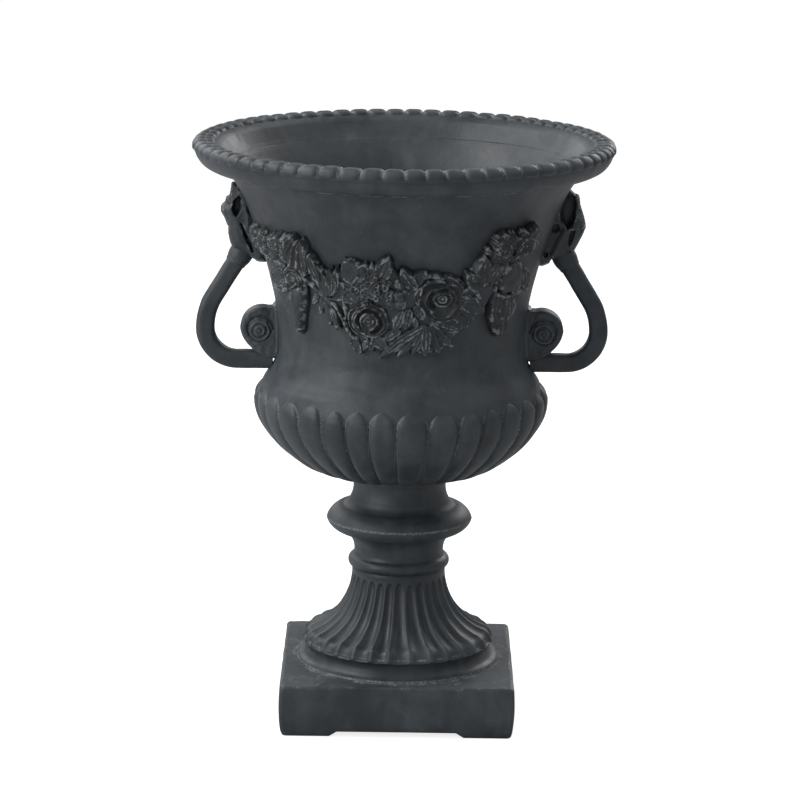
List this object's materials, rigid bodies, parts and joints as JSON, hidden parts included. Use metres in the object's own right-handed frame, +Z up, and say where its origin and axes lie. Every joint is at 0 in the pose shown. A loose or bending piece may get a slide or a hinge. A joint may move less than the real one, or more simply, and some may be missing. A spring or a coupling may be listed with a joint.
{
  "type": "urn planter",
  "caption": "Campana garden urn planter of cast stone with rope rim, floral garlands, gadrooned cup, scrolled side handles, fluted socle and square plinth.",
  "frame": {"origin": "on the ground under the middle of the plinth", "axes": "+Z up; the two handles lie along X; the front garland faces -Y"},
  "size_m": [0.4376, 0.4378, 0.6099],
  "materials": {
    "cast_stone": "matt charcoal stain, dusty in the hollows",
    "relief_stone": "matt charcoal stain, dry-brushed pale on the edges",
    "core_steel": "bare rod, cast in"
  },
  "bodies": {
    "root": {"rope_rim": "cast_stone", "bell": "cast_stone", "gadroon_cup": "cast_stone", "stem": "cast_stone", "fluted_socle": "cast_stone", "plinth": "cast_stone", "handle_left": "cast_stone", "handle_right": "cast_stone", "handle_core_left": "core_steel", "handle_core_right": "core_steel", "scroll_eyes_left": "cast_stone", "scroll_eyes_right": "cast_stone", "calyx_left": "cast_stone", "calyx_right": "cast_stone", "leaf_boss_left": "relief_stone", "leaf_boss_right": "relief_stone", "garland_ground_front": "relief_stone", "garland_ground_back": "relief_stone", "rose_left_front": "relief_stone", "rose_left_back": "relief_stone", "rose_right_front": "relief_stone", "rose_right_back": "relief_stone", "posy_front": "relief_stone", "posy_back": "relief_stone", "berries_front": "relief_stone", "berries_back": "relief_stone", "crown_leaves_front": "relief_stone", "crown_leaves_back": "relief_stone", "leaf_spray_front": "relief_stone", "leaf_spray_back": "relief_stone", "twig_front": "relief_stone", "twig_back": "relief_stone", "cluster_left_front": "relief_stone", "cluster_left_back": "relief_stone", "cluster_right_front": "relief_stone", "cluster_right_back": "relief_stone", "fold_left_front": "relief_stone", "fold_left_back": "relief_stone", "fold_right_front": "relief_stone", "fold_right_back": "relief_stone", "drop_left_front": "relief_stone", "drop_left_back": "relief_stone", "drop_right_front": "relief_stone", "drop_right_back": "relief_stone"}
  },
  "joints": []
}
